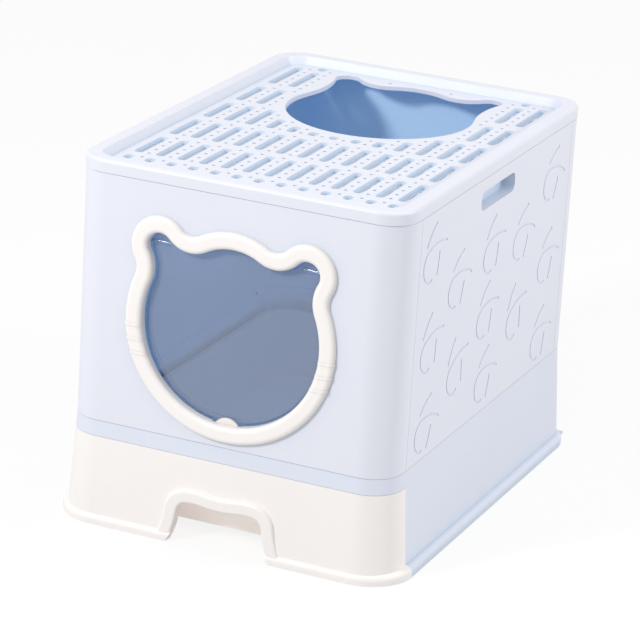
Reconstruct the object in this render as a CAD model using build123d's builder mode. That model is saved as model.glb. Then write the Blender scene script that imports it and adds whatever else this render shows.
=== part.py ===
"""A covered litter box: a base frame with a litter drawer, four wall panels, a hinged grille lid with a
cat-head opening, and a cat-head door with a clear flap and a turning lock tab."""
from build123d import *
from math import hypot, sqrt
import os

os.makedirs("parts", exist_ok=True)

# Driving sizes in millimetres: X is the width, Y runs from the front to the rear, Z is up. The last one here,
# clear, is how far a cutting form runs past what it cuts.
body_width = 370.0
body_depth = 512.0
corner_radius = 36.0
wall = 3.0
seam = 0.4
return_length = 42.5
drawer_top = 97.0
base_top = 114.0
lid_seam = 384.0
lid_height = 14.0
clear = 2.0

# Base frame: its walls flare down to a rolled foot, and a rail inside its top edge carries the panels.
foot_height = 12.0
foot_side = 14.8
foot_end = 8.3
foot_radius = 50.0
foot_roll = 7.5
flare_side = 7.0
flare_end = 5.0
rail_width = 6.0
rail_bottom = 101.0
rail_drop = 1.0
runner_overlap = 3.0
runner_bottom = 6.0
runner_thickness = 3.0
runner_margin = 12.0

# Panel hinges: pins in paired ears on the base rail, with one lug of the panel between them.
pin_radius = 2.0
pin_play = 0.08
lug_radius = 4.5
lug_width = 6.0
ear_width = 3.0
ear_gap = 0.4
hinge_inset = 5.0
left_hinge_rise = 4.5
right_hinge_rise = 23.0
end_hinge_rise = 5.0
side_hinge_y = 200.0
end_hinge_x = 120.0

# Handle pockets in the side panels.
handle_length = 95.0
handle_height = 21.0
handle_radius = 8.0
handle_depth = 14.5
handle_y = -5.0
handle_drop = 24.4
cup_wall = 2.0

# Sprigs pressed into the side panels, with their points as (along, up) from the sprig's middle, and the
# places of their middles as (Y, Z) with their tilt in degrees.
sprig_depth = 0.6
sprig_blade_width = 2.6
sprig_stem_width = 2.2
sprig_blade = ((-21.0, 8.0), (-11.0, 20.0), (3.0, 30.0))
sprig_leaf = ((14.0, -4.0), (12.5, -17.0), (10.0, -29.0))
sprig_stem = ((34.0, 3.0), (8.0, 7.0), (-14.0, 3.0))
sprig_heel = (-25.5, -8.0)
sprig_toe = (-2.0, -30.0)
sprig_places = ((-176.0, 341.0, 0.0), (-169.0, 243.0, 5.0), (-166.0, 153.0, -12.0), (-100.0, 291.0, -10.0),
                (-93.0, 195.0, 15.0), (-7.0, 304.0, 0.0), (-13.0, 232.0, -2.0), (-4.0, 157.0, -8.0),
                (83.0, 292.0, -12.0), (74.0, 206.0, 12.0), (166.0, 337.0, -16.0), (166.0, 243.0, -9.0),
                (162.0, 154.0, -6.0))

# Lid: a rim round a sunken grille plate.
lid_radius = 34.0
lid_edge = 4.0
rim_side = 16.0
rim_front = 14.5
rim_rear = 17.0
recess_radius = 22.0
recess_depth = 9.0
recess_taper = 24.0
plate_thickness = 3.5
rib_length = 300.0
rib_drop = 6.0
rib_thickness = 2.0
rib_gap = 1.0

# Lid grille: columns of long troughs with slits and holes in their floors, and drain holes between them.
column_pitch = 24.8
column_count = 13
trough_width = 10.5
trough_length = 66.0
trough_depth = 4.8
trough_draft = 12.0
trough_wall = 1.5
row_pitch = 80.3
row_count = 4
first_trough_y = -186.0
last_trough_y = 139.0
last_trough_lengths = (81.0, 71.0)
short_trough_length = 14.0
short_trough_y = -212.0
rear_trough_y = 219.0
trough_margin = 14.5
slit_width = 3.4
slit_length = 18.0
slit_pitch = 26.5
hole_radius = 1.9
hole_offset = 21.0
drain_radius = 2.0
drains_per_row = 5
first_drain_y = -199.0
last_drain_y = 222.0
drain_margin = 9.0

# Lid hinge behind the rear panel.
lid_hinge_y = 4.0
lid_hinge_drop = 1.0
lid_hinge_x = 110.0
knuckle_radius = 3.5
knuckle_width = 12.0
knuckle_gap = 0.5
lid_pin_radius = 1.5

# Cat-head lines: the door's clear opening, and the opening in the lid.
door_height = 239.0
door_jaw = 100.0
door_neck = 41.0
door_ear = 14.0
door_ear_x = 82.5
door_ear_rise = 79.0
door_dip = 35.0
door_brow = 60.0
door_brow_rise = 30.0
top_y = 104.0
top_jaw = 103.0
top_neck = 130.0
top_ear = 14.0
top_ear_x = 86.0
top_ear_rise = 108.0
top_dip = 35.0
top_brow = 60.0
top_brow_rise = 56.0
opening_lip = 2.0
opening_lip_wall = 2.5
opening_round = 1.5

# Door ring, with its collar through the panel, and the clamp ring behind the panel.
ring_band = 18.5
ring_proud = 6.0
ring_round = 5.4
whisker_rises = (-9.0, -24.0, -39.0)
whisker_height = 3.0
whisker_proud = 0.8
collar_wall = 2.5
collar_reach = 5.0
cutout_gap = 0.5
clamp_band = 14.0
clamp_thickness = 2.5
screw_band = 10.0
screw_radius = 1.5
screw_head_radius = 3.0
screw_head = 1.8
screw_bite = 4.0
screw_play = 0.1
lower_screw_way = (0.64, -0.77)

# Flap, hung from moulded pins in its ears, and the lock tab below it.
flap_gap = 1.5
flap_inset = 6.8
flap_thickness = 2.0
flap_bevel = 0.8
flap_rim_width = 4.5
flap_rim_depth = 1.2
flap_axis_rise = 81.0
flap_boss_radius = 3.0
flap_boss_length = 18.0
flap_boss_margin = 4.0
flap_pin_radius = 1.8
bearing_width = 4.0
bearing_height = 8.0
tab_radius = 16.0
tab_drop = 109.0
tab_flat = 7.5
tab_thickness = 2.1
tab_gap = 0.2
tab_slot_gap = 1.0
keeper_half = 26.0
keeper_thickness = 2.0
keeper_top = 5.5
keeper_bottom = 8.0
lock_pin_radius = 2.0
lock_pin_head_radius = 3.8
lock_pin_head = 1.5
lock_pin_bite = 3.5

# Litter drawer: a tapered tray behind a front that wraps the base's front corners.
tray_setback = 39.0
tray_rear_gap = 10.0
tray_bottom = 9.5
tray_rim = 88.0
tray_floor_half = 166.0
tray_rim_half = 176.0
tray_draft_end = 8.0
tray_radius = 30.0
rim_lip = 3.0
rim_lip_height = 2.5
web_x = 120.0
web_bottom = 15.0
grip_half = 48.0
grip_foot_half = 60.0
grip_top = 47.0
grip_dip = 2.5
grip_crest = 30.0
grip_saddle = 21.0
grip_saddle_drop = 0.7
grip_shoulder = 9.0
grip_side_lean = 2.0
grip_side_drop = 21.0
grip_border = 14.5
grip_border_front = 7.2
grip_border_round = 3.0

# Places worked out from the sizes above.
half_width = body_width / 2
half_depth = body_depth / 2
return_y = half_depth - return_length
rail_top = base_top - rail_drop
panel_bottom = base_top + seam
panel_top = lid_seam - seam
lid_top = lid_seam + lid_height
plate_top = lid_top - recess_depth

door_plane = Plane(origin=(0, -half_depth, door_height), x_dir=(1, 0, 0), z_dir=(0, -1, 0))


def meet(first, first_radius, second, second_radius):
    """Point at the given distances from two centres, to the right of the way from first to second."""
    run_x = second[0] - first[0]
    run_y = second[1] - first[1]
    span = hypot(run_x, run_y)
    along = (first_radius**2 - second_radius**2 + span**2) / (2 * span)
    off = sqrt(first_radius**2 - along**2)
    x = first[0] + (along * run_x + off * run_y) / span
    y = first[1] + (along * run_y - off * run_x) / span
    return (x, y)


def toward(centre, target, radius):
    """Point on the circle about centre that faces target."""
    span = hypot(target[0] - centre[0], target[1] - centre[1])
    x = centre[0] + radius * (target[0] - centre[0]) / span
    y = centre[1] + radius * (target[1] - centre[1]) / span
    return (x, y)


def between(first, second):
    """Point halfway between two points."""
    return ((first[0] + second[0]) / 2, (first[1] + second[1]) / 2)


def cat_head(jaw, neck, ear, ear_at, dip, brow, brow_rise, grow):
    """Closed cat-head face of tangent arcs: jaw, neck, ear, dip and brow on the right, mirrored left.

    The jaw is centred on the origin. The neck and the dip curve inward, so they tighten as the head grows.
    """
    brow_at = (0, brow_rise)
    neck_at = meet((0, 0), jaw + neck, ear_at, ear + neck)
    dip_at = meet(ear_at, ear + dip, brow_at, brow + dip)
    jaw_end = toward((0, 0), neck_at, jaw + grow)
    ear_start = toward(ear_at, neck_at, ear + grow)
    ear_end = toward(ear_at, dip_at, ear + grow)
    brow_start = toward(brow_at, dip_at, brow + grow)
    jaw_mid = toward((0, 0), (jaw, -jaw), jaw + grow)
    neck_mid = toward(neck_at, between(jaw_end, ear_start), neck - grow)
    ear_mid = toward(ear_at, (ear_at[0] + ear, ear_at[1] + ear), ear + grow)
    dip_mid = toward(dip_at, between(ear_end, brow_start), dip - grow)
    brow_mid = toward(brow_at, (brow_start[0] / 2, brow_rise + brow), brow + grow)
    with BuildSketch(mode=Mode.PRIVATE) as head:
        with BuildLine():
            ThreePointArc((0, -jaw - grow), jaw_mid, jaw_end)
            ThreePointArc(jaw_end, neck_mid, ear_start)
            ThreePointArc(ear_start, ear_mid, ear_end)
            ThreePointArc(ear_end, dip_mid, brow_start)
            ThreePointArc(brow_start, brow_mid, (0, brow_rise + brow + grow))
            mirror(about=Plane.YZ)
        make_face()
    return head.sketch


def door_head(grow):
    """Door's clear opening, grown outward."""
    ear_at = (door_ear_x, door_ear_rise)
    return cat_head(door_jaw, door_neck, door_ear, ear_at, door_dip, door_brow, door_brow_rise, grow)


def top_head(grow):
    """Lid's opening, grown outward."""
    ear_at = (top_ear_x, top_ear_rise)
    return cat_head(top_jaw, top_neck, top_ear, ear_at, top_dip, top_brow, top_brow_rise, grow)


def slab(width, depth, radius, low, high):
    """Upright slab with rounded corners, centred on the body."""
    with BuildPart(mode=Mode.PRIVATE) as block:
        with BuildSketch(Plane.XY.offset(low)):
            RectangleRounded(width, depth, radius)
        extrude(amount=high - low)
    return block.part


def cuboid(x_span, y_span, z_span):
    """Plain block between two values on each axis."""
    with BuildPart(mode=Mode.PRIVATE) as block:
        with BuildSketch(Plane.XY.offset(z_span[0])):
            with Locations(((x_span[0] + x_span[1]) / 2, (y_span[0] + y_span[1]) / 2)):
                Rectangle(x_span[1] - x_span[0], y_span[1] - y_span[0])
        extrude(amount=z_span[1] - z_span[0])
    return block.part


def flared_form(inset, low, high):
    """Solid form of the flared base walls between two heights."""
    with BuildPart(mode=Mode.PRIVATE) as form:
        for height in (low, high):
            spread = (base_top - height) / (base_top - foot_height)
            width = body_width + 2 * (flare_side * spread - inset)
            depth = body_depth + 2 * (flare_end * spread - inset)
            with BuildSketch(Plane.XY.offset(height)):
                RectangleRounded(width, depth, corner_radius + flare_end * spread - inset)
        loft()
    return form.part


def foot_form(inset):
    """Solid form of the rolled foot."""
    width = body_width + 2 * (foot_side - inset)
    depth = body_depth + 2 * (foot_end - inset)
    with BuildPart(mode=Mode.PRIVATE) as form:
        with BuildSketch():
            RectangleRounded(width, depth, foot_radius - inset)
        extrude(amount=foot_height - inset)
        fillet(form.faces().sort_by(Axis.Z)[-1].edges(), foot_roll - inset)
    return form.part


def base_shell():
    """Hollow flared wall with its rolled foot, all the way round."""
    with BuildPart(mode=Mode.PRIVATE) as shell:
        add(foot_form(0))
        add(flared_form(0, foot_height - wall, base_top))
        add(foot_form(wall), mode=Mode.SUBTRACT)
        add(flared_form(wall, foot_height - 2 * wall, base_top + clear), mode=Mode.SUBTRACT)
    return shell.part


def front_zone(top):
    """Block round the front of the base, which the drawer's front fills."""
    reach = half_width + foot_side + clear
    return cuboid((-reach, reach), (-half_depth - foot_end - clear, -return_y), (-clear, top))


def hinge_plane(outward, x, y, height):
    """Plane across a hinge axis: its X points outward, its Y up, and its normal runs along the axis."""
    out = Vector(*outward)
    return Plane(origin=(x, y, height), x_dir=out, z_dir=out.cross(Vector(0, 0, 1)))


def hinge_planes():
    """Planes of the panel hinges, by panel."""
    side_x = half_width - wall - hinge_inset
    end_y = half_depth - wall - hinge_inset
    left_height = base_top + left_hinge_rise
    right_height = base_top + right_hinge_rise
    end_height = base_top + end_hinge_rise
    planes = {"left": [], "right": [], "front": [], "rear": []}
    for side in (-1, 1):
        planes["left"].append(hinge_plane((-1, 0, 0), -side_x, side * side_hinge_y, left_height))
        planes["right"].append(hinge_plane((1, 0, 0), side_x, side * side_hinge_y, right_height))
        planes["front"].append(hinge_plane((0, -1, 0), side * end_hinge_x, -end_y, end_height))
        planes["rear"].append(hinge_plane((0, 1, 0), side * end_hinge_x, end_y, end_height))
    return planes


def hinge_ear(plane, middle, width, reach_out, reach_down):
    """Bored round ear on a hinge axis, with a web outward to a panel or a foot down to the rail."""
    with BuildPart(mode=Mode.PRIVATE) as ear:
        with BuildSketch(plane.offset(middle - width / 2)):
            Circle(lug_radius)
            if reach_out:
                with Locations((reach_out / 2, 0)):
                    Rectangle(reach_out, 2 * lug_radius)
            if reach_down:
                with Locations((0, -reach_down / 2)):
                    Rectangle(2 * lug_radius, reach_down)
            Circle(pin_radius + pin_play, mode=Mode.SUBTRACT)
        extrude(amount=width)
    return ear.part


def panel_lug(plane):
    """Lug of a panel, reaching from half inside its wall to the hinge axis."""
    return hinge_ear(plane, 0, lug_width, hinge_inset + wall / 2, 0)


def panel_walls():
    """Straight walls of the body between the base and the lid, all the way round."""
    with BuildPart(mode=Mode.PRIVATE) as walls:
        add(slab(body_width, body_depth, corner_radius, panel_bottom, panel_top))
        inner = slab(body_width - 2 * wall, body_depth - 2 * wall, corner_radius - wall,
                     panel_bottom, panel_top)
        add(inner, mode=Mode.SUBTRACT)
    return walls.part


def door_disc(x, rise, radius, start, end):
    """Round solid square to the door, between two depths behind the front panel's outer face."""
    with BuildPart(mode=Mode.PRIVATE) as disc:
        with BuildSketch(door_plane.offset(-end)):
            with Locations((x, rise)):
                Circle(radius)
        extrude(amount=end - start)
    return disc.part


def knuckle(x, width, radius):
    """Round solid about the lid hinge's axis: a barrel, a bore or a pin."""
    with BuildPart(mode=Mode.PRIVATE) as barrel:
        with BuildSketch(Plane.YZ.offset(x - width / 2)):
            with Locations((half_depth + lid_hinge_y, lid_seam - lid_hinge_drop)):
                Circle(radius)
        extrude(amount=width)
    return barrel.part


hinges = hinge_planes()
ear_offset = (lug_width + ear_width) / 2 + ear_gap
pin_length = lug_width + 2 * (ear_gap + ear_width)

# Base frame: one moulding that holds up the panels and lets the drawer slide out at the front.
runner_inner = tray_floor_half - runner_overlap
runner_outer = half_width + foot_side - 2 * wall
with BuildPart() as base_frame:
    add(base_shell())
    add(front_zone(drawer_top), mode=Mode.SUBTRACT)
    with BuildSketch(Plane.XY.offset(rail_bottom)):
        RectangleRounded(body_width - wall, body_depth - wall, corner_radius - wall / 2)
        rail_inset = 2 * (wall + rail_width)
        RectangleRounded(body_width - rail_inset, body_depth - rail_inset, corner_radius - wall - rail_width,
                         mode=Mode.SUBTRACT)
    extrude(amount=rail_top - rail_bottom)
    runner_span = (runner_margin - return_y, half_depth - runner_margin)
    runner_heights = (runner_bottom, runner_bottom + runner_thickness)
    for side in (-1, 1):
        runner_reach = sorted((side * runner_inner, side * runner_outer))
        add(cuboid(runner_reach, runner_span, runner_heights))
    for panel_planes in hinges.values():
        for plane in panel_planes:
            for side in (-1, 1):
                add(hinge_ear(plane, side * ear_offset, ear_width, 0, plane.origin.Z - rail_bottom))
base_frame.part.label = "base_frame"
export_step(base_frame.part, "parts/base_frame.step")

# Litter drawer: tray, raised front and grip in one moulding.
tray_front = tray_setback - half_depth
tray_rear = half_depth - tray_rear_gap
drawer_front_top = drawer_top - seam


def tray_form(inset, bottom, top):
    """Solid form of the tray, wider and longer at its rim than at its floor."""
    with BuildPart(mode=Mode.PRIVATE) as form:
        for height in (bottom, top):
            share = (height - tray_bottom) / (tray_rim - tray_bottom)
            half = tray_floor_half + (tray_rim_half - tray_floor_half) * share - inset
            rear = tray_rear - tray_draft_end * (1 - share) - inset
            front = tray_front + inset
            with BuildSketch(Plane.XY.offset(height)):
                with Locations((0, (front + rear) / 2)):
                    RectangleRounded(2 * half, rear - front, tray_radius - inset)
        loft()
    return form.part


def grip_line():
    """Upper line of the finger notch in the drawer's front: a shallow dip, a crest, a shoulder and a foot."""
    saddle_height = grip_top - grip_saddle_drop
    with BuildSketch(mode=Mode.PRIVATE) as notch:
        with BuildLine():
            dip = TangentArc((0, grip_top - grip_dip), (grip_saddle, saddle_height), tangent=(1, 0))
            crest = TangentArc(dip @ 1, (2 * grip_crest - grip_saddle, saddle_height), tangent=dip % 1)
            shoulder = TangentArc(crest @ 1, (grip_half, grip_top - grip_shoulder), tangent=crest % 1)
            side = Line(shoulder @ 1, (grip_half + grip_side_lean, grip_top - grip_side_drop))
            TangentArc(side @ 1, (grip_foot_half, -clear), tangent=side % 1)
            mirror(about=Plane.YZ)
            Line((-grip_foot_half, -clear), (grip_foot_half, -clear))
        make_face()
    return notch.sketch


def grip_rim():
    """Rounded rim round the finger notch, standing out of the drawer's front."""
    with BuildPart(mode=Mode.PRIVATE) as form:
        with BuildSketch(Plane.XZ.offset(half_depth - wall)):
            offset(grip_line(), grip_border)
            add(grip_line(), mode=Mode.SUBTRACT)
        extrude(amount=wall + grip_border_front)
        fillet(form.faces().sort_by(Axis.Y)[0].edges(), grip_border_round)
        reach = grip_foot_half + 2 * grip_border
        below = cuboid((-reach, reach), (-2 * half_depth, 0), (-2 * grip_border, 0))
        add(below, mode=Mode.SUBTRACT)
    return form.part


with BuildPart() as litter_drawer:
    add(base_shell())
    add(front_zone(drawer_front_top), mode=Mode.INTERSECT)
    with BuildSketch(Plane.XZ.offset(half_depth - wall)):
        add(grip_line())
    extrude(amount=wall + foot_end + clear, mode=Mode.SUBTRACT)
    add(grip_rim())
    front_core = flared_form(wall / 2, foot_height, base_top)
    front_reach = (-half_width - flare_side, half_width + flare_side)
    front_run = (-half_depth - flare_end, tray_front + wall)
    add(front_core & cuboid(front_reach, front_run, (drawer_front_top - wall, drawer_front_top)))
    for side in (-1, 1):
        web_reach = (side * web_x - wall / 2, side * web_x + wall / 2)
        add(front_core & cuboid(web_reach, front_run, (web_bottom, drawer_front_top)))
    add(tray_form(0, tray_bottom, tray_rim))
    lip_zone = cuboid(front_reach, (tray_front, half_depth), (tray_rim - rim_lip_height, tray_rim))
    add(tray_form(-rim_lip, tray_rim - rim_lip_height, tray_rim) & lip_zone)
    back_reach = (tray_radius - tray_rim_half, tray_rim_half - tray_radius)
    add(cuboid(back_reach, (tray_front, tray_front + wall), (tray_rim - rim_lip_height, drawer_front_top)))
    add(tray_form(wall, tray_bottom + wall, tray_rim + clear), mode=Mode.SUBTRACT)
litter_drawer.part.label = "litter_drawer"
export_step(litter_drawer.part, "parts/litter_drawer.step")

# Places of the six screws that clamp the door rings to the front panel, as (x, rise) from the jaw's centre.
lower_screw = toward((0, 0), lower_screw_way, door_jaw + screw_band)
ear_screw = toward((door_ear_x, door_ear_rise), (door_ear_x + 1, door_ear_rise + 1), door_ear + screw_band)
screw_points = []
for x, rise in (lower_screw, (door_jaw + screw_band, 0), ear_screw):
    screw_points.append((x, rise))
    screw_points.append((-x, rise))

# Front panel: the front wall with both front corners, cut out for the door.
with BuildPart() as front_panel:
    add(panel_walls())
    split(bisect_by=Plane.XZ.offset(return_y), keep=Keep.TOP)
    with BuildSketch(door_plane.offset(clear)):
        add(door_head(collar_wall + cutout_gap))
    extrude(amount=-wall - 2 * clear, mode=Mode.SUBTRACT)
    for x, rise in screw_points:
        add(door_disc(x, rise, screw_radius + screw_play, -clear, wall + clear), mode=Mode.SUBTRACT)
    add(door_disc(0, -tab_drop, lock_pin_radius + pin_play, -clear, wall + clear), mode=Mode.SUBTRACT)
    for plane in hinges["front"]:
        add(panel_lug(plane))
front_panel.part.label = "front_panel"
export_step(front_panel.part, "parts/front_panel.step")

# Rear panel: the rear wall with both rear corners, and the fixed knuckles of the lid hinge.
knuckle_offset = knuckle_width + knuckle_gap
lid_axis_z = lid_seam - lid_hinge_drop
with BuildPart() as rear_panel:
    add(panel_walls())
    split(bisect_by=Plane.XZ.offset(-return_y), keep=Keep.BOTTOM)
    for plane in hinges["rear"]:
        add(panel_lug(plane))
    for side in (-1, 1):
        x = side * lid_hinge_x
        x_span = (x - knuckle_width / 2, x + knuckle_width / 2)
        add(knuckle(x, knuckle_width, knuckle_radius))
        web_run = (half_depth - wall / 2, half_depth + lid_hinge_y)
        add(cuboid(x_span, web_run, (lid_axis_z - knuckle_radius, lid_axis_z)))
        add(knuckle(x, knuckle_width, lid_pin_radius + pin_play), mode=Mode.SUBTRACT)
rear_panel.part.label = "rear_panel"
export_step(rear_panel.part, "parts/rear_panel.step")



def sprig_outline():
    """Strokes of one sprig: a blade and a leaf, and a stem that hooks round below them."""
    with BuildSketch(mode=Mode.PRIVATE) as strokes:
        for points in (sprig_blade, sprig_leaf):
            with BuildLine():
                ThreePointArc(*points)
            trace(line_width=sprig_blade_width)
        with BuildLine():
            stem = ThreePointArc(*sprig_stem)
            bend = TangentArc(stem @ 1, sprig_heel, tangent=stem % 1)
            TangentArc(bend @ 1, sprig_toe, tangent=bend % 1)
        trace(line_width=sprig_stem_width)
    return strokes.sketch


# Side panels: flat walls with pressed sprigs and a closed handle pocket, which fold inward on their lugs.
sprig = sprig_outline()
for side, name in ((-1, "left"), (1, "right")):
    outer_face = Plane.YZ.offset(side * half_width)
    with BuildPart() as side_panel:
        x_span = sorted((side * (half_width - wall), side * half_width))
        add(cuboid(x_span, (seam - return_y, return_y - seam), (panel_bottom, panel_top)))
        with BuildSketch(outer_face):
            with Locations((handle_y, panel_top - handle_drop)):
                RectangleRounded(handle_length + 2 * cup_wall, handle_height + 2 * cup_wall,
                                 handle_radius + cup_wall)
        extrude(amount=-side * (handle_depth + cup_wall))
        with BuildSketch(outer_face):
            with Locations((handle_y, panel_top - handle_drop)):
                RectangleRounded(handle_length, handle_height, handle_radius)
        extrude(amount=-side * handle_depth, mode=Mode.SUBTRACT)
        with BuildSketch(outer_face):
            for along, up, tilt in sprig_places:
                add(Pos(along, up) * Rot(0, 0, tilt) * sprig)
        extrude(amount=-side * sprig_depth, mode=Mode.SUBTRACT)
        for plane in hinges[name]:
            add(panel_lug(plane))
    side_panel.part.label = f"{name}_side_panel"
    export_step(side_panel.part, f"parts/{name}_side_panel.step")

# Panel hinge pins: two plain steel pins for each panel.
for name, panel_planes in hinges.items():
    with BuildPart() as panel_pins:
        for plane in panel_planes:
            with BuildSketch(plane.offset(-pin_length / 2)):
                Circle(pin_radius)
            extrude(amount=pin_length)
    panel_pins.part.label = f"{name}_panel_pins"
    export_step(panel_pins.part, f"parts/{name}_panel_pins.step")

# Lid: rounded rim over the wall tops, sunken grille plate, lipped cat-head opening and hinge knuckles.
recess_front = rim_front - half_depth
recess_rear = half_depth - rim_rear
recess_y = (recess_front + recess_rear) / 2
recess_width = body_width - 2 * rim_side
recess_length = recess_rear - recess_front
opening_plane = Plane(origin=(0, top_y, plate_top))


def trough_runs():
    """Troughs of the grille as (x, start, end), each kept clear of the cat-head opening."""
    runs = []
    clear_reach = top_jaw + trough_margin
    beside = top_ear_x + top_ear + trough_margin
    for column in range(column_count):
        x = (column - (column_count - 1) / 2) * column_pitch
        from_edge = min(column, column_count - 1 - column)
        runs.append((x, short_trough_y, short_trough_y + short_trough_length))
        for row in range(row_count):
            start = first_trough_y + row * row_pitch
            end = start + trough_length
            if abs(x) < beside:
                end = min(end, top_y - sqrt(max(clear_reach**2 - x**2, 0)))
            if end - start > trough_width:
                runs.append((x, start, end))
        if from_edge < len(last_trough_lengths):
            runs.append((x, last_trough_y, last_trough_y + last_trough_lengths[from_edge]))
        if abs(x) > beside and from_edge > 0:
            runs.append((x, rear_trough_y, rear_trough_y + short_trough_length))
    return runs


def trough_sketch(runs, grow):
    """Outlines of the troughs, grown outward."""
    with BuildSketch(mode=Mode.PRIVATE) as outlines:
        for x, start, end in runs:
            with Locations((x, (start + end) / 2)):
                SlotOverall(end - start + 2 * grow, trough_width + 2 * grow, rotation=90)
    return outlines.sketch


def floor_holes(runs):
    """Centres of the slits and of the round holes in the troughs' floors: slit between holes, or three slits."""
    slits = []
    holes = []
    for x, start, end in runs:
        middle = (start + end) / 2
        if end - start > 2 * slit_pitch + slit_length:
            slits += [(x, middle - slit_pitch), (x, middle), (x, middle + slit_pitch)]
        elif end - start > 2 * (hole_offset + hole_radius) + trough_width / 2:
            slits.append((x, middle))
            holes += [(x, middle - hole_offset), (x, middle + hole_offset)]
        elif end - start > slit_length + trough_width / 2:
            slits.append((x, middle))
        elif end - start > short_trough_length:
            holes.append((x, middle))
    return slits, holes


def drain_points():
    """Centres of the drain holes, on lines midway between the columns and clear of the opening."""
    keep_out = Pos(0, top_y, 0) * top_head(drain_margin)
    points = []
    pitch = row_pitch / drains_per_row
    for line in range(column_count - 1):
        x = (line - (column_count - 2) / 2) * column_pitch
        for step in range(int((last_drain_y - first_drain_y) / pitch) + 1):
            y = first_drain_y + step * pitch
            if keep_out.distance_to(Vertex(x, y, 0)) > 0:
                points.append((x, y))
    return points


troughs = trough_runs()
slit_points, hole_points = floor_holes(troughs)
plate_bottom = plate_top - plate_thickness
with BuildPart() as lid:
    add(slab(body_width, body_depth, lid_radius, lid_seam, lid_top))
    fillet(lid.faces().sort_by(Axis.Z)[-1].edges(), lid_edge)
    with BuildSketch(Plane.XY.offset(lid_top)):
        with Locations((0, recess_y)):
            RectangleRounded(recess_width, recess_length, recess_radius)
    extrude(amount=-recess_depth, taper=recess_taper, mode=Mode.SUBTRACT)
    add(slab(body_width - 2 * wall, body_depth - 2 * wall, lid_radius - wall, lid_seam, plate_bottom),
        mode=Mode.SUBTRACT)
    with BuildSketch(Plane.XY.offset(lid_seam)):
        RectangleRounded(body_width - 2 * wall, body_depth - 2 * wall, lid_radius - wall)
        with Locations((0, recess_y)):
            RectangleRounded(recess_width + 2 * wall, recess_length + 2 * wall, recess_radius + wall,
                             mode=Mode.SUBTRACT)
    extrude(amount=lid_height - wall, mode=Mode.SUBTRACT)
    with BuildSketch(opening_plane.offset(-plate_thickness / 2)):
        add(top_head(opening_lip_wall))
    extrude(amount=-plate_thickness / 2 - opening_lip)
    with BuildSketch(opening_plane):
        add(top_head(0))
    extrude(amount=-lid_height, mode=Mode.SUBTRACT)
    fillet(lid.edges(Select.LAST).group_by(Axis.Z)[-1], opening_round)
    with BuildSketch(Plane.XY.offset(plate_top - plate_thickness / 2)):
        add(trough_sketch(troughs, trough_wall))
    extrude(amount=plate_thickness / 2 - trough_depth - trough_wall)
    with BuildSketch(Plane.XY.offset(plate_top)):
        add(trough_sketch(troughs, 0))
    extrude(amount=-trough_depth, taper=trough_draft, mode=Mode.SUBTRACT)
    with BuildSketch(Plane.XY.offset(plate_top + clear)):
        with Locations(*slit_points):
            SlotOverall(slit_length, slit_width, rotation=90)
        with Locations(*hole_points):
            Circle(hole_radius)
        with Locations(*drain_points()):
            Circle(drain_radius)
    extrude(amount=-lid_height - 2 * clear, mode=Mode.SUBTRACT)
    for side in (-1, 1):
        rib_outer = half_depth - wall - rib_gap
        rib_run = sorted((side * (rib_outer - rib_thickness), side * rib_outer))
        add(cuboid((-rib_length / 2, rib_length / 2), rib_run, (lid_seam - rib_drop, lid_top - wall / 2)))
        for offset_side in (-1, 1):
            x = side * lid_hinge_x + offset_side * knuckle_offset
            x_span = (x - knuckle_width / 2, x + knuckle_width / 2)
            add(knuckle(x, knuckle_width, knuckle_radius))
            web_run = (half_depth - wall / 2, half_depth + lid_hinge_y)
            add(cuboid(x_span, web_run, (lid_seam, lid_axis_z + knuckle_radius)))
            add(knuckle(x, knuckle_width, lid_pin_radius + pin_play), mode=Mode.SUBTRACT)
lid.part.label = "lid"
export_step(lid.part, "parts/lid.step")

# Lid hinge pins: one through each set of three knuckles.
with BuildPart() as lid_pins:
    for side in (-1, 1):
        add(knuckle(side * lid_hinge_x, 3 * knuckle_width + 2 * knuckle_gap, lid_pin_radius))
lid_pins.part.label = "lid_hinge_pins"
export_step(lid_pins.part, "parts/lid_hinge_pins.step")

# Door ring: a rounded cat-head frame on the panel, with a collar through it and a seat for the lock tab.
tab_front = wall + tab_gap
tab_back = tab_front + tab_thickness


def ring_form(rise, spread):
    """Rounded band round the door's opening, proud of the panel."""
    with BuildPart(mode=Mode.PRIVATE) as band:
        with BuildSketch(door_plane):
            add(door_head(ring_band + spread))
            add(door_head(0), mode=Mode.SUBTRACT)
        extrude(amount=ring_proud + rise)
        fillet(band.faces().sort_by(Axis.Y)[0].edges(), ring_round)
    return band.part


with BuildPart() as door_ring:
    add(ring_form(0, 0))
    with BuildSketch(door_plane):
        add(door_head(collar_wall))
        add(door_head(0), mode=Mode.SUBTRACT)
    extrude(amount=-collar_reach)
    whisker_form = ring_form(whisker_proud, whisker_proud / 2)
    whisker_run = (-half_depth - ring_proud - clear, -half_depth)
    for side in (-1, 1):
        whisker_reach = sorted((side * (door_jaw / 2), side * (door_jaw + 2 * ring_band)))
        for rise in whisker_rises:
            middle = door_height + rise
            whisker_span = (middle - whisker_height / 2, middle + whisker_height / 2)
            add(whisker_form & cuboid(whisker_reach, whisker_run, whisker_span))
    tab_zone = (-tab_radius - tab_slot_gap, tab_radius + tab_slot_gap)
    tab_heights = (door_height - tab_drop - tab_radius, door_height - tab_drop + tab_radius + tab_slot_gap)
    slot_run = (wall - half_depth, collar_reach + clear - half_depth)
    add(cuboid(tab_zone, slot_run, tab_heights), mode=Mode.SUBTRACT)
    for x, rise in screw_points:
        add(door_disc(x, rise, screw_radius, -screw_bite, clear), mode=Mode.SUBTRACT)
    add(door_disc(0, -tab_drop, lock_pin_radius, -lock_pin_bite, clear), mode=Mode.SUBTRACT)
door_ring.part.label = "door_ring"
export_step(door_ring.part, "parts/door_ring.step")

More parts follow.
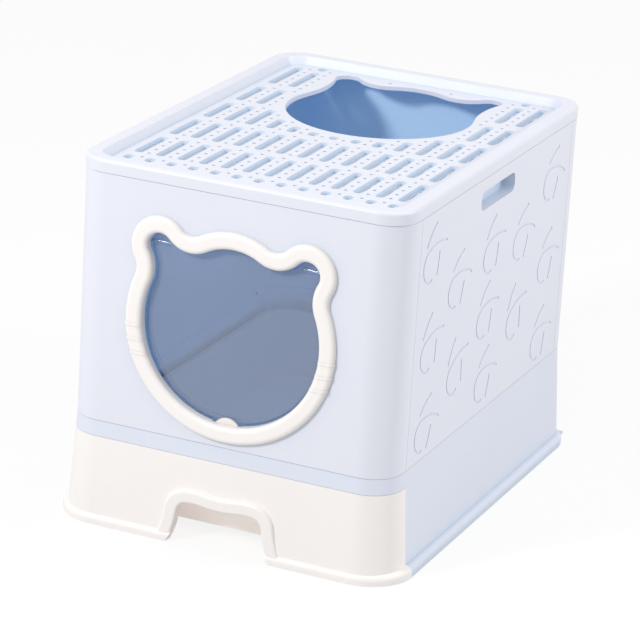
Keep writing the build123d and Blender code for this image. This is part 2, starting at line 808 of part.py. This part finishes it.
# Clamp ring behind the panel: it carries the flap's bearings and the keeper behind the lock tab.
clamp_back = wall + clamp_thickness
bearing_start = door_ear_x + door_ear + collar_wall + cutout_gap
flap_axis_depth = flap_inset + flap_thickness / 2
flap_axis_y = flap_axis_depth - half_depth
flap_axis_z = door_height + flap_axis_rise
with BuildPart() as door_clamp_ring:
    with BuildSketch(door_plane.offset(-wall)):
        add(door_head(collar_wall + cutout_gap + clamp_band))
        add(door_head(collar_wall + cutout_gap), mode=Mode.SUBTRACT)
    extrude(amount=-clamp_thickness)
    gap_heights = (door_height - door_jaw - 2 * ring_band, door_height)
    gap_run = (wall - half_depth, clamp_back - half_depth)
    add(cuboid(tab_zone, gap_run, gap_heights), mode=Mode.SUBTRACT)
    tab_z = door_height - tab_drop
    keeper_run = (clamp_back - half_depth, clamp_back + keeper_thickness - half_depth)
    add(cuboid((-keeper_half, keeper_half), keeper_run, (tab_z - keeper_bottom, tab_z + keeper_top)))
    for side in (-1, 1):
        start = min(side * bearing_start, side * (bearing_start + bearing_width))
        with BuildSketch(Plane.YZ.offset(start)):
            block_back = flap_axis_y + bearing_height / 2
            block_front = clamp_back - half_depth
            with Locations(((block_front + block_back) / 2, flap_axis_z)):
                Rectangle(block_back - block_front, bearing_height)
            with Locations((flap_axis_y, flap_axis_z)):
                Circle(flap_pin_radius + pin_play, mode=Mode.SUBTRACT)
        extrude(amount=bearing_width)
    for x, rise in screw_points:
        hole = door_disc(x, rise, screw_radius + screw_play, wall - clear, clamp_back + clear)
        add(hole, mode=Mode.SUBTRACT)
    keeper_hole_end = clamp_back + keeper_thickness + clear
    add(door_disc(0, -tab_drop, lock_pin_radius + pin_play, wall, keeper_hole_end), mode=Mode.SUBTRACT)
door_clamp_ring.part.label = "door_clamp_ring"
export_step(door_clamp_ring.part, "parts/door_clamp_ring.step")

# Screws: from the clamp ring through the panel into the door ring.
with BuildPart() as door_screws:
    for x, rise in screw_points:
        add(door_disc(x, rise, screw_radius, -screw_bite, clamp_back))
        add(door_disc(x, rise, screw_head_radius, clamp_back, clamp_back + screw_head))
door_screws.part.label = "door_screws"
export_step(door_screws.part, "parts/door_screws.step")

# Flap: a clear cat-head plate with a rim round its back, and a moulded boss and pin in each ear.
with BuildPart() as door_flap:
    with BuildSketch(door_plane.offset(-flap_inset)):
        add(door_head(-flap_gap))
    extrude(amount=-flap_thickness)
    chamfer(door_flap.faces().sort_by(Axis.Y)[0].edges(), flap_bevel)
    with BuildSketch(door_plane.offset(-flap_inset - flap_thickness)):
        add(door_head(-flap_gap))
        add(door_head(-flap_gap - flap_rim_width), mode=Mode.SUBTRACT)
    extrude(amount=-flap_rim_depth)
    boss_end = door_ear_x + door_ear - flap_boss_margin
    pin_end = bearing_start + bearing_width
    for side in (-1, 1):
        for radius, start, end in ((flap_boss_radius, boss_end - flap_boss_length, boss_end),
                                   (flap_pin_radius, boss_end, pin_end)):
            with BuildSketch(Plane.YZ.offset(min(side * start, side * end))):
                with Locations((flap_axis_y, flap_axis_z)):
                    Circle(radius)
            extrude(amount=end - start)
door_flap.part.label = "door_flap"
export_step(door_flap.part, "parts/door_flap.step")

# Lock tab: a disc with a flat, which blocks the flap from swinging outward until it is turned over.
with BuildPart() as door_lock_tab:
    with BuildSketch(Plane(origin=(0, tab_front - half_depth, tab_z), x_dir=(1, 0, 0), z_dir=(0, -1, 0))):
        Circle(tab_radius)
        with Locations((0, -tab_radius)):
            Rectangle(2 * tab_radius, 2 * (tab_radius - tab_flat), mode=Mode.SUBTRACT)
        Circle(lock_pin_radius + pin_play, mode=Mode.SUBTRACT)
    extrude(amount=-tab_thickness)
door_lock_tab.part.label = "door_lock_tab"
export_step(door_lock_tab.part, "parts/door_lock_tab.step")

# Lock pin: headed behind the keeper and pressed into the door ring.
keeper_back = clamp_back + keeper_thickness
with BuildPart() as door_lock_pin:
    add(door_disc(0, -tab_drop, lock_pin_radius, -lock_pin_bite, keeper_back))
    add(door_disc(0, -tab_drop, lock_pin_head_radius, keeper_back, keeper_back + lock_pin_head))
door_lock_pin.part.label = "door_lock_pin"
export_step(door_lock_pin.part, "parts/door_lock_pin.step")
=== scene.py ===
"""Looks of a covered litter box: moulded plastic panels, a grille lid, a cat-head door and a drawer."""
import math

import bpy
from mathutils import Matrix, Vector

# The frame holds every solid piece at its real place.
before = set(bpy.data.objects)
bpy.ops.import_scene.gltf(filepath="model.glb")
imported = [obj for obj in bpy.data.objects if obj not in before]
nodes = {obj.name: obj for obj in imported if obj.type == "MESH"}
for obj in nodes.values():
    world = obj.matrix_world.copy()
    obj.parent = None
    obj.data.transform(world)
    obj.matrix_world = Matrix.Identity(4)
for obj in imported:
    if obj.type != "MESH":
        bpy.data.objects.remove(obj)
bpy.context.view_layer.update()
MM = 0.001

# Body shell: base frame, four wall panels and lid, injection-moulded in pale blue polypropylene with a satin
# skin. The base frame gets a darker copy of the body's colours, a painted shade for the low band of the box.
# Inside the cabin the plastic is painted a more saturated blue and glows faintly, painted light that stands
# in for daylight through the thin walls bouncing from wall to wall; narrow pockets, such as the lid's
# troughs, are painted a greyer blue where ambient occlusion finds them, a painted shade.
BODY_BLUE = "EAECF6"
BODY_BLUE_DEEP = "E7E9F4"
# A darker copy of the body's colours for the base frame: painted shade for the low band of the box.
BASE_SHADED_BLUE = "E3E8F5"
BASE_SHADED_BLUE_DEEP = "E0E5F3"
# Painted shade in narrow pockets.
POCKET_SHADE_BLUE = "AEC8DC"
# Inside the cabin: a painted shade, and a faint painted glow.
CABIN_SHADE_BLUE = "CFEAFE"
CABIN_PAINTED_GLOW = (0.0045, 0.0115, 0.021)
CABIN_HALF = (182.5 * MM, 253.5 * MM, 383.5 * MM)
CABIN_MIDDLE = (0.0, 0.0, 250.0 * MM)
CABIN_DEPTH = 120.0 * MM
POCKET_REACH = 20.0 * MM
POCKET_RAYS = 4
FLOW_SIZE = 90.0 * MM
FLOW_DETAIL = 2.0
# The grain of such a skin is about 0.1 mm, and is drawn coarser here so that it shows.
SKIN_GRAIN = 0.6 * MM
SKIN_GRAIN_DEPTH = 0.05 * MM
SKIN_GRAIN_DETAIL = 3.0
PLASTIC_IOR = 1.49
BODY_ROUGHNESS = 0.42
BODY_RELIEF = 0.12
# A Mix node's colour sockets, which share their names with its number sockets and are told apart by place.
COLOUR_A = 6
COLOUR_B = 7
COLOUR_OUT = 2


def linear(code):
    """Linear colour of an sRGB hex code, by the standard's own formula."""
    channels = [int(code[i:i + 2], 16) / 255 for i in (0, 2, 4)]
    straight = [c / 12.92 if c <= 0.04045 else ((c + 0.055) / 1.055) ** 2.4 for c in channels]
    return (*straight, 1.0)


def add_node(tree, kind, links=(), values=(), **settings):
    """New node in a tree, with settings on itself or its sockets, links given as (input, source socket) and
    values given as (input, value)."""
    node = tree.nodes.new(kind)
    for name, value in settings.items():
        if hasattr(node, name):
            setattr(node, name, value)
        else:
            node.inputs[name.replace("_", " ")].default_value = value
    for name, value in values:
        node.inputs[name].default_value = value
    for name, source in links:
        tree.links.new(source, node.inputs[name])
    return node


def new_material(name):
    """Empty node material and its tree."""
    material = bpy.data.materials.new(name)
    material.use_nodes = True
    material.node_tree.nodes.clear()
    return material, material.node_tree


def cabin_shade_mask(tree, coords):
    """Mask for the cabin's painted shade and painted glow: a Value node that is 1 on the cabin's faces that
    look to its middle from at least CABIN_DEPTH away, and 0 elsewhere. The cabin is a box that reaches
    CABIN_HALF from the origin."""
    spot = coords.outputs["Object"]
    reach = add_node(tree, "ShaderNodeVectorMath", [(0, spot)], operation="ABSOLUTE")
    over = add_node(tree, "ShaderNodeVectorMath", [(0, reach.outputs[0])], [(1, CABIN_HALF)],
                    operation="SUBTRACT")
    parts = add_node(tree, "ShaderNodeSeparateXYZ", [(0, over.outputs[0])])
    plan = add_node(tree, "ShaderNodeMath", [(0, parts.outputs["X"]), (1, parts.outputs["Y"])],
                    operation="MAXIMUM")
    most = add_node(tree, "ShaderNodeMath", [(0, plan.outputs[0]), (1, parts.outputs["Z"])],
                    operation="MAXIMUM")
    inside = add_node(tree, "ShaderNodeMath", [(0, most.outputs[0])], [(1, 0.0)], operation="LESS_THAN")
    from_middle = add_node(tree, "ShaderNodeVectorMath", [(0, spot)], [(1, CABIN_MIDDLE)],
                           operation="SUBTRACT")
    outward = add_node(tree, "ShaderNodeVectorMath",
                       [(0, coords.outputs["Normal"]), (1, from_middle.outputs[0])], operation="DOT_PRODUCT")
    inward = add_node(tree, "ShaderNodeMath", [(0, outward.outputs["Value"])], [(1, -CABIN_DEPTH)],
                      operation="LESS_THAN")
    return add_node(tree, "ShaderNodeMath", [(0, inside.outputs[0]), (1, inward.outputs[0])],
                    operation="MULTIPLY")


def moulded_plastic(name, main, deep, pocket, cabin, glow_colour, roughness, relief, glow_mask=cabin_shade_mask):
    """Moulded plastic: two close tones that drift with the melt's flow and a fine grain, plus a painted shade
    in narrow pockets that ambient occlusion finds, a painted shade inside the cabin, and a faint painted
    glow, which stands in for light through the walls, where the mask given as the last argument is 1."""
    material, tree = new_material(name)
    coords = add_node(tree, "ShaderNodeTexCoord")
    spot = coords.outputs["Object"]
    flow = add_node(tree, "ShaderNodeTexNoise", [("Vector", spot)], Scale=1 / FLOW_SIZE, Detail=FLOW_DETAIL)
    shade = add_node(tree, "ShaderNodeMix", [("Factor", flow.outputs["Fac"])],
                     [(COLOUR_A, linear(main)), (COLOUR_B, linear(deep))], data_type="RGBA")
    # Painted shade: where ambient occlusion finds a narrow pocket, the colour turns to the pocket shade.
    openness = add_node(tree, "ShaderNodeAmbientOcclusion", Distance=POCKET_REACH, samples=POCKET_RAYS)
    pocket_shaded = add_node(tree, "ShaderNodeMix",
                       [("Factor", openness.outputs["AO"]), (COLOUR_B, shade.outputs[COLOUR_OUT])],
                       [(COLOUR_A, linear(pocket))], data_type="RGBA")
    # Painted shade inside the cabin.
    in_cabin = cabin_shade_mask(tree, coords)
    colour_and_shade = add_node(tree, "ShaderNodeMix",
                       [("Factor", in_cabin.outputs[0]), (COLOUR_A, pocket_shaded.outputs[COLOUR_OUT])],
                       [(COLOUR_B, linear(cabin))], data_type="RGBA")
    skin = add_node(tree, "ShaderNodeTexNoise", [("Vector", spot)], Scale=1 / SKIN_GRAIN,
                    Detail=SKIN_GRAIN_DETAIL)
    grain = add_node(tree, "ShaderNodeBump", [("Height", skin.outputs["Fac"])], Strength=relief,
                     Distance=SKIN_GRAIN_DEPTH)
    # Painted glow, standing in for light through the walls, where the mask is 1.
    lit = glow_mask(tree, coords)
    shader = add_node(tree, "ShaderNodeBsdfPrincipled",
                      [("Base Color", colour_and_shade.outputs[COLOUR_OUT]), ("Normal", grain.outputs["Normal"]),
                       ("Emission Strength", lit.outputs[0])],
                      Roughness=roughness, IOR=PLASTIC_IOR, Emission_Color=(*glow_colour, 1.0))
    add_node(tree, "ShaderNodeOutputMaterial", [("Surface", shader.outputs["BSDF"])])
    material.cycles.emission_sampling = "NONE"
    return material


def dress(material, *names):
    """Gives CAD nodes one material all over."""
    for name in names:
        data = nodes[name].data
        data.materials.clear()
        data.materials.append(material)


blue_plastic = moulded_plastic("pale_blue_polypropylene", BODY_BLUE, BODY_BLUE_DEEP, POCKET_SHADE_BLUE, CABIN_SHADE_BLUE,
                               CABIN_PAINTED_GLOW, BODY_ROUGHNESS, BODY_RELIEF)
dress(blue_plastic, "front_panel", "rear_panel", "left_side_panel", "right_side_panel", "lid")
# Base frame: the same plastic with darker colours, a painted shade.
base_shaded_plastic = moulded_plastic("pale_blue_polypropylene_shaded_base", BASE_SHADED_BLUE, BASE_SHADED_BLUE_DEEP, POCKET_SHADE_BLUE,
                               CABIN_SHADE_BLUE, CABIN_PAINTED_GLOW, BODY_ROUGHNESS, BODY_RELIEF)
dress(base_shaded_plastic, "base_frame")

# Drawer: tray and front moulded in one, in warm white polypropylene with a satin skin. The tray's thin front
# wall, where it closes the hollow that the finger notch opens, has a painted glow that stands in for daylight
# through it, and the tray's faces inside the cabin are painted a greyer white, a painted shade.
DRAWER_WHITE = "FBF7F4"
DRAWER_WHITE_DEEP = "F8F3F0"
DRAWER_POCKET = "FCF7F4"
# Painted shade for the tray's faces inside the cabin.
TRAY_SHADE_WHITE = "F0F0F0"
DRAWER_ROUGHNESS = 0.4
DRAWER_RELIEF = 0.1
TRAY_FRONT = -217.5 * MM
TRAY_FRONT_BAND = 1.5 * MM
HOLLOW_MIDDLE = 0.0
HOLLOW_HALF_WIDTH = 118.0 * MM
# Painted glow on the tray's front wall in the hollow.
HOLLOW_PAINTED_GLOW = (0.2, 0.185, 0.175)


def hollow_glow_mask(tree, coords):
    """Mask for the painted glow: a Value node that is 1 on the tray's front wall, where it closes the hollow,
    and 0 elsewhere.
    """
    along = add_node(tree, "ShaderNodeSeparateXYZ", [(0, coords.outputs["Object"])])
    at_wall = add_node(tree, "ShaderNodeMath", [(0, along.outputs["Y"])],
                       [(1, TRAY_FRONT), (2, TRAY_FRONT_BAND)], operation="COMPARE")
    in_hollow = add_node(tree, "ShaderNodeMath", [(0, along.outputs["X"])],
                         [(1, HOLLOW_MIDDLE), (2, HOLLOW_HALF_WIDTH)], operation="COMPARE")
    return add_node(tree, "ShaderNodeMath", [(0, at_wall.outputs[0]), (1, in_hollow.outputs[0])],
                    operation="MULTIPLY")


white_plastic = moulded_plastic("warm_white_polypropylene", DRAWER_WHITE, DRAWER_WHITE_DEEP, DRAWER_POCKET,
                                TRAY_SHADE_WHITE, HOLLOW_PAINTED_GLOW, DRAWER_ROUGHNESS, DRAWER_RELIEF,
                                glow_mask=hollow_glow_mask)
dress(white_plastic, "litter_drawer")

# Door ring, clamp ring, lock tab and its pin: cream ABS, moulded glossier than the body. The two rings are
# screwed together through the front panel. They get no painted glow, and narrow pockets on them are painted a
# greyer cream, a painted shade.
RING_CREAM = "FEFAF7"
RING_CREAM_DEEP = "FBF6F3"
# Painted shade in the rings' narrow pockets.
RING_POCKET_SHADE = "D2CCC6"
RING_ROUGHNESS = 0.28
RING_RELIEF = 0.05
NO_PAINTED_GLOW = (0.0, 0.0, 0.0)
cream_abs = moulded_plastic("cream_abs", RING_CREAM, RING_CREAM_DEEP, RING_POCKET_SHADE, RING_CREAM_DEEP,
                            NO_PAINTED_GLOW, RING_ROUGHNESS, RING_RELIEF)
dress(cream_abs, "door_ring", "door_clamp_ring", "door_lock_tab", "door_lock_pin")

# Flap: a plate of clear blue polystyrene, polished in its mould. It tints what lies behind it and carries a
# faint haze and a weak reflection of the room, which grows towards a glancing view.
FLAP_BLUE = "DDE4EB"
FLAP_HAZE = "CCD6EA"
FLAP_HAZE_SHARE = 0.2
FLAP_GLOSS = 0.04
FLAP_GLOSS_RISE = 5.0
FLAP_ROUGHNESS = 0.06
EVEN_BLEND = 0.5
flap_clear, flap_tree = new_material("clear_blue_polystyrene")
through = add_node(flap_tree, "ShaderNodeBsdfTransparent", Color=linear(FLAP_BLUE))
haze = add_node(flap_tree, "ShaderNodeBsdfDiffuse", Color=linear(FLAP_HAZE))
cloudy = add_node(flap_tree, "ShaderNodeMixShader", [(1, through.outputs[0]), (2, haze.outputs[0])],
                  Fac=FLAP_HAZE_SHARE)
gloss = add_node(flap_tree, "ShaderNodeBsdfGlossy", Roughness=FLAP_ROUGHNESS)
edge_on = add_node(flap_tree, "ShaderNodeLayerWeight", Blend=EVEN_BLEND)
rise = add_node(flap_tree, "ShaderNodeMath", [(0, edge_on.outputs["Facing"])], [(1, FLAP_GLOSS_RISE)],
                operation="POWER")
mirror_share = add_node(flap_tree, "ShaderNodeMath", [(0, rise.outputs[0])],
                        [(1, 1 - FLAP_GLOSS), (2, FLAP_GLOSS)], operation="MULTIPLY_ADD")
polished = add_node(flap_tree, "ShaderNodeMixShader",
                    [("Fac", mirror_share.outputs[0]), (1, cloudy.outputs[0]), (2, gloss.outputs[0])])
add_node(flap_tree, "ShaderNodeOutputMaterial", [("Surface", polished.outputs[0])])
dress(flap_clear, "door_flap")

# Hinge pins and screws: drawn steel wire, plated with zinc, which leaves it a dull grey sheen.
STEEL_GREY = "B8BABE"
STEEL_ROUGHNESS = 0.32
steel, steel_tree = new_material("zinc_plated_steel")
plating = add_node(steel_tree, "ShaderNodeBsdfPrincipled", Metallic=1.0, Roughness=STEEL_ROUGHNESS,
                   Base_Color=linear(STEEL_GREY))
add_node(steel_tree, "ShaderNodeOutputMaterial", [("Surface", plating.outputs["BSDF"])])
dress(steel, "lid_hinge_pins", "left_panel_pins", "right_panel_pins", "front_panel_pins", "rear_panel_pins",
      "door_screws")

# Camera at the photograph's viewing angle, worked out from the box's own edges. Angles are in degrees, the
# sensor in millimetres, the focal length in pixels of the photograph, and places in metres.
VIEW_AZIMUTH = 23.27
VIEW_ELEVATION = 19.33
VIEW_ROLL = 3.46
FOCAL_PIXELS = 3374.32
FRAME_PIXELS = 640.0
SENSOR = 36.0
AIM = Vector((0.0, 0.0, 0.190))
AIM_SHIFT_X = 0.01147
AIM_SHIFT_Y = 0.01112
AIM_DISTANCE = 3.66594
azimuth = math.radians(VIEW_AZIMUTH)
elevation = math.radians(VIEW_ELEVATION)
roll = math.radians(VIEW_ROLL)
ahead = Vector((-math.sin(azimuth) * math.cos(elevation), math.cos(azimuth) * math.cos(elevation),
                -math.sin(elevation)))
level = Vector((math.cos(azimuth), math.sin(azimuth), 0.0))
upright = level.cross(ahead)
across = math.cos(roll) * level + math.sin(roll) * upright
rising = -math.sin(roll) * level + math.cos(roll) * upright
camera_data = bpy.data.cameras.new("camera")
camera_data.sensor_width = SENSOR
camera_data.lens = FOCAL_PIXELS / FRAME_PIXELS * SENSOR
camera = bpy.data.objects.new("camera", camera_data)
turn = Matrix((across, rising, -ahead)).transposed().to_4x4()
station = AIM - AIM_SHIFT_X * across - AIM_SHIFT_Y * rising - AIM_DISTANCE * ahead
camera.matrix_world = Matrix.Translation(station) @ turn
scene = bpy.context.scene
scene.collection.objects.link(camera)
scene.camera = camera

# Surround: pure white wherever it is seen, also in gloss and through clear plastic, and weaker as light.
SURROUND_LIGHT = 0.62
FULL_WHITE = 1.0


def sight(tree):
    """Value node that is 1 on rays by which something is seen, and 0 on rays that only carry light."""
    ray = add_node(tree, "ShaderNodeLightPath")
    clear = add_node(tree, "ShaderNodeMath",
                     [(0, ray.outputs["Is Glossy Ray"]), (1, ray.outputs["Is Transmission Ray"])],
                     operation="MAXIMUM")
    return add_node(tree, "ShaderNodeMath", [(0, ray.outputs["Is Camera Ray"]), (1, clear.outputs[0])],
                    operation="MAXIMUM")


scene.view_settings.view_transform = "Standard"
world = bpy.data.worlds.new("white_surround")
scene.world = world
world.use_nodes = True
world_tree = world.node_tree
world_tree.nodes.clear()
seen = add_node(world_tree, "ShaderNodeMapRange", [("Value", sight(world_tree).outputs[0])],
                To_Min=SURROUND_LIGHT, To_Max=FULL_WHITE)
surround = add_node(world_tree, "ShaderNodeBackground", [("Strength", seen.outputs["Result"])],
                    Color=(1.0, 1.0, 1.0, 1.0))
add_node(world_tree, "ShaderNodeOutputWorld", [("Surface", surround.outputs[0])])

# Floor: a white painted board under the box, which keeps the box's soft shadow. It throws back about as much
# light as the surround sends from below.
FLOOR_SIDE = 12.0
FLOOR_DROP = 0.2 * MM
FLOOR_WHITE = "FCFCFC"
FLOOR_BOUNCE = "C8C8C8"
FLOOR_GLOW = 0.85
floor_material, floor_tree = new_material("white_painted_board")
in_sight = sight(floor_tree)
paint = add_node(floor_tree, "ShaderNodeMix", [("Factor", in_sight.outputs[0])],
                 [(COLOUR_A, linear(FLOOR_BOUNCE)), (COLOUR_B, linear(FLOOR_WHITE))], data_type="RGBA")
board = add_node(floor_tree, "ShaderNodeBsdfDiffuse", [("Color", paint.outputs[COLOUR_OUT])])
glow = add_node(floor_tree, "ShaderNodeEmission", Strength=FULL_WHITE)
glow_share = add_node(floor_tree, "ShaderNodeMath", [(0, in_sight.outputs[0])], [(1, FLOOR_GLOW)],
                      operation="MULTIPLY")
painted = add_node(floor_tree, "ShaderNodeMixShader",
                   [("Fac", glow_share.outputs[0]), (1, board.outputs[0]), (2, glow.outputs[0])])
add_node(floor_tree, "ShaderNodeOutputMaterial", [("Surface", painted.outputs[0])])
floor_material.cycles.emission_sampling = "NONE"
half_side = FLOOR_SIDE / 2
corner_signs = ((-1, -1), (1, -1), (1, 1), (-1, 1))
floor_corners = [(x * half_side, y * half_side, -FLOOR_DROP) for x, y in corner_signs]
floor_mesh = bpy.data.meshes.new("floor")
floor_mesh.from_pydata(floor_corners, [], [(0, 1, 2, 3)])
floor_mesh.materials.append(floor_material)
floor = bpy.data.objects.new("floor", floor_mesh)
scene.collection.objects.link(floor)

# Light: a key on the left, which throws the bright patch into the top opening, a fill on the right and a soft
# light overhead, placed in metres and with their power in watts. Light bounces many times in the cabin before
# it comes out.
LIGHT_BOUNCES = 40


def soft_box(name, station, aim, width, power):
    """Square area lamp that faces a point."""
    data = bpy.data.lights.new(name, "AREA")
    data.shape = "SQUARE"
    data.size = width
    data.energy = power
    lamp = bpy.data.objects.new(name, data)
    facing = (Vector(aim) - Vector(station)).to_track_quat("-Z", "Y").to_matrix().to_4x4()
    lamp.matrix_world = Matrix.Translation(station) @ facing
    scene.collection.objects.link(lamp)


soft_box("key", station=(-1.32, -2.54, 2.03), aim=(0.0, 0.0, 0.2), width=0.5, power=50.0)
soft_box("fill", station=(2.5, 0.5, 1.7), aim=(0.0, 0.0, 0.2), width=1.2, power=27.0)
soft_box("overhead", station=(0.2, 0.2, 3.2), aim=(0.0, 0.0, 0.4), width=1.6, power=4.0)
scene.cycles.max_bounces = LIGHT_BOUNCES
scene.cycles.diffuse_bounces = LIGHT_BOUNCES
